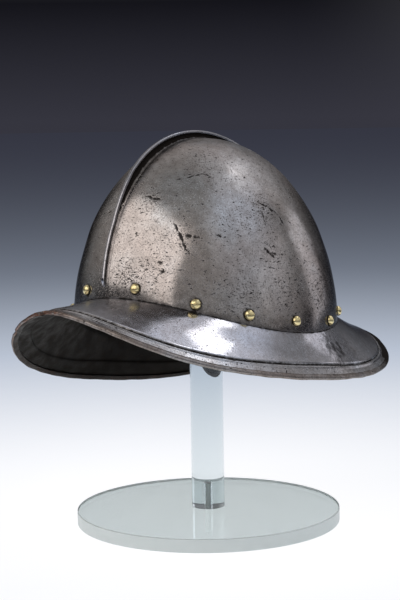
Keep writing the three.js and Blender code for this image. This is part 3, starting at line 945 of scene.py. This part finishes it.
def half_object(name, node, side, seed, drop, rivets, with_lip):
    half = Half(side, seed)
    points, zones, dirt_and_shade = half.grid(drop)
    for centre, _ in rivets:
        gap = np.linalg.norm(points - centre, axis=-1)
        dirt_and_shade = np.maximum(dirt_and_shade, 0.9 * (1 - smooth(3.9, 5.6, gap)))
    dirt_and_shade = np.maximum(dirt_and_shade, spots_at(points, DARK_SPOTS[side]))
    rows, columns = points.shape[:2]
    vertices = points.reshape(-1, 3)
    faces = grid_faces(rows, columns)
    indices = np.repeat([ZONES.index(zones[r + 1]) for r in range(rows - 1)], columns - 1)
    exposed = np.array([1.0 if zone in ("hem", "border") else 0.35 for zone in zones])[:, None]
    rust = spots_at(points, RUST[side]) * exposed
    angle, latitude = half.sheet(rows, columns)
    across, up = sheet_place(angle, latitude)
    pitting = np.zeros(points.shape[:2])
    if side == "left":
        for patch_angle, patch_latitude, radius, amount in PITTED:
            patch_across, patch_up = sheet_place(patch_angle, patch_latitude)
            gap = np.hypot(across - patch_across, up - patch_up)
            pitting = np.maximum(pitting, amount * np.exp(-((gap / radius) ** 2)))
    else:
        across = across + FAR_SHIFT
    fields = dict(grime_and_shade=dirt_and_shade, rust=rust, pitting=pitting, sheet_across=across, sheet_up=up)
    on_brim = np.array([zone == "brim" for zone in zones])[:, None]
    front_brim = on_brim * (1 - smooth(16, 38, angle))
    fields["dull"] = np.maximum(smooth(34, 58, latitude), 0.9 * front_brim)
    fields = {key: np.broadcast_to(field, (rows, columns)).reshape(-1) for key, field in fields.items()}
    if side == "right":
        vertices = vertices * (-1, 1, 1)
    if with_lip:
        sections = lip_sections()
        start = len(vertices)
        vertices = np.concatenate([vertices, sections.reshape(-1, 3)])
        n = sections.shape[1]
        lip_faces = grid_faces(len(sections), n, start, wrap=True)
        lip_faces.append(tuple(range(start, start + n)))
        lip_faces.append(tuple(range(len(vertices) - n, len(vertices)))[::-1])
        faces = faces + lip_faces
        indices = np.concatenate([indices, np.full(len(lip_faces), ZONES.index("brim"))])
        extra = np.zeros(len(vertices) - start)
        fields = {key: np.concatenate([field, extra]) for key, field in fields.items()}
    obj = make_object(name, vertices, faces, ZONE_MATERIALS, indices, fields, HAT)
    return settle(obj, node)


half_object("left_half", "skull_left_half", "left", 21, LIP["thickness"] + LIP_GAP, LEFT_RIVETS, False)
half_object("right_half", "skull_right_half", "right", 34, LIP["thickness"], RIGHT_RIVETS, True)


RIVET = dict(head=3.8, dome=2.9, shank=1.5, rim=0.12, rim_height=0.4, blows=7)


def rivet_object(number, centre, normal, mirror):
    """A domed rivet with a peened tail, its head flattened a little by random blows."""
    head = RIVET["head"] * RNG.uniform(0.96, 1.03)
    dome = RIVET["dome"] * RNG.uniform(0.92, 1.08)
    shank, rim = RIVET["shank"], RIVET["rim"]
    tail, dome_foot = -WALL - GAP, rim + RIVET["rim_height"]
    profile = [(0, tail - 0.95), (1.4, tail - 0.9), (2.5, tail - 0.45), (2.7, tail - 0.1), (2.4, tail)]
    profile += [(shank, tail), (shank, rim), (head * 0.94, rim), (head, rim + 0.3)]
    rise = np.radians(np.arange(6, 90, 7))
    profile += [(head * math.cos(a) ** 0.9, dome_foot + dome * math.sin(a)) for a in rise]
    profile += [(0, dome_foot + dome)]
    vertices, faces = lathe(profile, 40)
    for _ in range(RIVET["blows"]):
        way = unit(RNG.normal(0, 1, 3) * (1, 1, 0.7) + (0, 0, 0.9))
        reach = vertices @ way
        top = reach.max() - RNG.uniform(0.05, 0.22)
        over = np.clip(reach - top, 0, None) * (vertices[:, 2] > rim + 0.5)
        vertices = vertices - way * (over * 0.85)[:, None]
    turn = Vector((0, 0, 1)).rotation_difference(Vector(normal)).to_matrix()
    vertices = vertices @ np.array(turn).T + centre
    if mirror:
        vertices = vertices * (-1, 1, 1)
    obj = make_object(f"brass_rivet_{number:02d}", vertices, faces, [BRASS], matrix=HAT, sharp=60)
    return settle(obj, f"rivet_{number:02d}")


for i, (centre, normal) in enumerate(LEFT_RIVETS):
    rivet_object(i + 1, centre, normal, False)
for i, (centre, normal) in enumerate(reversed(RIGHT_RIVETS)):
    rivet_object(i + 8, centre, normal, True)

# The stand

DISC = dict(radius=100, thickness=10, edge=0.5)
ROD = dict(radius=12.5, top=282.3, edge=0.4)
DOWEL = dict(radius=2, base=2.5, top=29)


def bevel(edge, degrees):
    """Steps in and up from the corner of a turned form, round its rounded edge."""
    return [(edge * (1 - math.sin(a)), edge * (1 - math.cos(a))) for a in np.radians(degrees)]


def disc_object():
    r, t = DISC["radius"], DISC["thickness"]
    hole = DOWEL["radius"] + GAP
    corner = bevel(DISC["edge"], (0, 22, 45, 68, 90))
    profile = [(0, 0)] + [(r - x, y) for x, y in corner] + [(r - x, t - y) for x, y in corner[::-1]]
    profile += [(hole, t), (hole, DOWEL["base"] - GAP), (0, DOWEL["base"] - GAP)]
    segments = 192
    vertices, faces = lathe(profile, segments)
    indices = [1 if 0 < i // segments < 2 * len(corner) else 0 for i in range(len(faces))]
    obj = make_object("base_disc", vertices, faces, [DISC_ACRYLIC, DISC_EDGE], indices, sharp=8)
    return settle(obj, "stand_base")


def rod_object():
    r, low, top = ROD["radius"], DISC["thickness"] + GAP, ROD["top"]
    hole = DOWEL["radius"] + GAP
    corner = bevel(ROD["edge"], (0, 30, 60, 90))
    profile = [(0, DOWEL["top"] + GAP), (hole, DOWEL["top"] + GAP), (hole, low)]
    profile += [(r - x, low + y) for x, y in corner] + [(r - x, top - y) for x, y in corner[::-1]]
    profile += [(0, top)]
    vertices, faces = lathe(profile, 128)
    obj = make_object("upright_rod", vertices, faces, [ROD_ACRYLIC], sharp=8)
    return settle(obj, "stand_rod")


def dowel_object():
    r, low, top = DOWEL["radius"], DOWEL["base"], DOWEL["top"]
    profile = [(0, low), (r - 0.3, low), (r, low + 0.3), (r, top - 0.5), (r - 0.5, top), (0, top)]
    vertices, faces = lathe(profile, 40)
    obj = make_object("joining_pin", vertices, faces, [PIN])
    return settle(obj, "stand_dowel")


disc_object()
rod_object()
dowel_object()

# The studio, in metres

FLOOR_RADIUS = 40
FLOOR_DROP = 0.0002
FLOOR_GLOW = (
    # how far the floor's painted glow has faded, from 0 at the stand to 1 far away, and its colour
    (0.0, (0.93, 0.93, 0.94)),
    (0.56, (0.37, 0.425, 0.52)),
    (1.0, (0.033, 0.035, 0.051)),
)
# Distance at which the floor's painted glow has half faded, and how sharply it fades there.
FLOOR_HALF_FADED = 0.8
FLOOR_FADE_POWER = 1.7


def stops(ramp, places):
    """Sets the places and colours of a colour ramp."""
    elements = ramp.color_ramp.elements
    while len(elements) < len(places):
        elements.new(0.5)
    for element, (at, colour) in zip(elements, places):
        element.position = at
        element.color = (*colour, 1)


def floor_object():
    mesh = bpy.data.meshes.new("floor")
    n = 96
    turn = [2 * math.pi * i / n for i in range(n)]
    ring = [(FLOOR_RADIUS * math.cos(a), FLOOR_RADIUS * math.sin(a), -FLOOR_DROP) for a in turn]
    mesh.from_pydata(ring, [], [tuple(range(n))])
    obj = bpy.data.objects.new("floor", mesh)
    bpy.context.scene.collection.objects.link(obj)
    tree = painted("floor_paper")
    # The floor glows with a painted pool of light, near white at the stand and fading to dark slate far
    # away.
    distance = tree.length(tree.place)
    fade = tree.nodes.new("ShaderNodeValToRGB")
    reach = tree.math("DIVIDE", distance, FLOOR_HALF_FADED)
    reach = tree.math("POWER", reach, FLOOR_FADE_POWER)
    tree.links.new(tree.math("DIVIDE", reach, tree.math("ADD", reach, 1.0)), fade.inputs[0])
    stops(fade, FLOOR_GLOW)
    grain = tree.mix(tree.noise(30, 3), (0.24, 0.24, 0.245), (0.26, 0.26, 0.265))
    # Painted falloff of the light: the floor's own colour darkens to near black far away.
    grain = tree.mix(tree.ramp(distance, 0.5, 2.2), grain, (0.004, 0.004, 0.005))
    tree.shade(Base_Color=grain, Roughness=0.9, Emission_Color=fade.outputs[0], Emission_Strength=1.0)
    tree.shader.inputs["Specular IOR Level"].default_value = 0.0
    mesh.materials.append(tree.material)


def facing(azimuth, elevation):
    """The direction at an azimuth from the front of the hat, towards its left, and an elevation."""
    a, e = math.radians(azimuth), math.radians(elevation)
    return Vector((math.sin(a) * math.cos(e), -math.cos(a) * math.cos(e), math.sin(e)))


LIGHT_TARGET = Vector((0, 0, 0.21))


def area_light(name, azimuth, elevation, distance, width, height, power, colour):
    data = bpy.data.lights.new(name, "AREA")
    data.shape = "RECTANGLE"
    data.size, data.size_y = width, height
    data.energy = power
    data.color = colour
    obj = bpy.data.objects.new(name, data)
    away = facing(azimuth, elevation)
    obj.location = LIGHT_TARGET + away * distance
    obj.rotation_mode = "QUATERNION"
    obj.rotation_quaternion = away.to_track_quat("Z", "Y")
    obj.visible_camera = False
    bpy.context.scene.collection.objects.link(obj)


WORLD_GLOW = (
    # height of the direction from 0 straight down to 1 straight up, colour
    (0.0, (0.6, 0.6, 0.6)),
    (0.49, (0.036, 0.036, 0.049)),
    (0.50, (0.036, 0.036, 0.049)),
    (0.535, (0.007, 0.007, 0.010)),
    (0.56, (0.06, 0.06, 0.065)),
    (0.62, (0.17, 0.17, 0.175)),
    (0.75, (0.25, 0.25, 0.255)),
    (1.0, (0.27, 0.27, 0.27)),
)
GLOWS = (
    # azimuth and elevation, half width and half height in degrees, softness, colour
    (155, 56, 36, 17, 0.8, (0.205, 0.23, 0.285)),
    (110, 40, 27, 24, 0.8, (0.245, 0.265, 0.31)),
    (126, 17, 18, 12, 0.4, (0.20, 0.20, 0.205)),
    (96, 11, 17, 10, 0.7, (0.10, 0.095, 0.085)),
    (166, 10, 11, 15, 0.25, (0.78, 0.78, 0.84)),
    (52, 38, 26, 36, 0.7, (0.11, 0.105, 0.10)),
    (-80, 16, 22, 18, 0.8, (0.16, 0.16, 0.155)),
    (-155, 50, 34, 18, 0.8, (0.42, 0.405, 0.415)),
    (-160, 12, 16, 10, 0.8, (0.06, 0.06, 0.065)),
)


def glow(tree, azimuth, elevation, half_width, half_height, softness, colour):
    """A soft pale panel far away, as a colour over the direction."""
    ahead = facing(azimuth, elevation)
    across = Vector((0, 0, 1)).cross(ahead).normalized()
    up = ahead.cross(across)
    depth = tree.math("MAXIMUM", tree.dot(tree.place, ahead), 0.02)
    cover = None
    for axis, half in ((across, half_width), (up, half_height)):
        share = tree.math("DIVIDE", tree.dot(tree.place, axis), depth)
        share = tree.math("ABSOLUTE", tree.math("DIVIDE", share, math.tan(math.radians(half))))
        one = tree.ramp(share, 1 + softness / 2, 1 - softness / 2)
        cover = one if cover is None else tree.math("MULTIPLY", cover, one)
    return tree.mix(cover, (0, 0, 0), colour)


def world():
    made = bpy.data.worlds.new("studio")
    bpy.context.scene.world = made
    tree = Tree(made, "Background", "Generated")
    height = tree.math("MULTIPLY_ADD", tree.dot(tree.place, (0, 0, 1)), 0.5, 0.5)
    ramp = tree.nodes.new("ShaderNodeValToRGB")
    tree.links.new(height, ramp.inputs[0])
    stops(ramp, WORLD_GLOW)
    total = ramp.outputs[0]
    for panel in GLOWS:
        total = tree.mix(1.0, total, glow(tree, *panel), "ADD")
    tree.shade(Color=total, Strength=1.0)


def camera():
    data = bpy.data.cameras.new("camera")
    data.sensor_width = SENSOR_WIDTH
    data.lens = CAMERA["focal"] * SENSOR_WIDTH / PHOTO["height"]
    obj = bpy.data.objects.new("camera", data)
    bpy.context.scene.collection.objects.link(obj)
    spot, right, up, forward = camera_axes()
    axes = Matrix((right, up, -forward)).transposed().to_4x4()
    obj.matrix_world = Matrix.Translation(spot) @ axes
    bpy.context.scene.camera = obj


floor_object()
world()
camera()
area_light(
    "key",
    azimuth=-9,
    elevation=35,
    distance=1.7,
    width=2.6,
    height=1.5,
    power=16.2,
    colour=(1.0, 0.945, 0.91),
)
area_light(
    "back",
    azimuth=159,
    elevation=57,
    distance=1.65,
    width=0.34,
    height=0.32,
    power=0.86,
    colour=(1.0, 1.0, 1.02),
)
bpy.context.scene.view_settings.view_transform = "Standard"
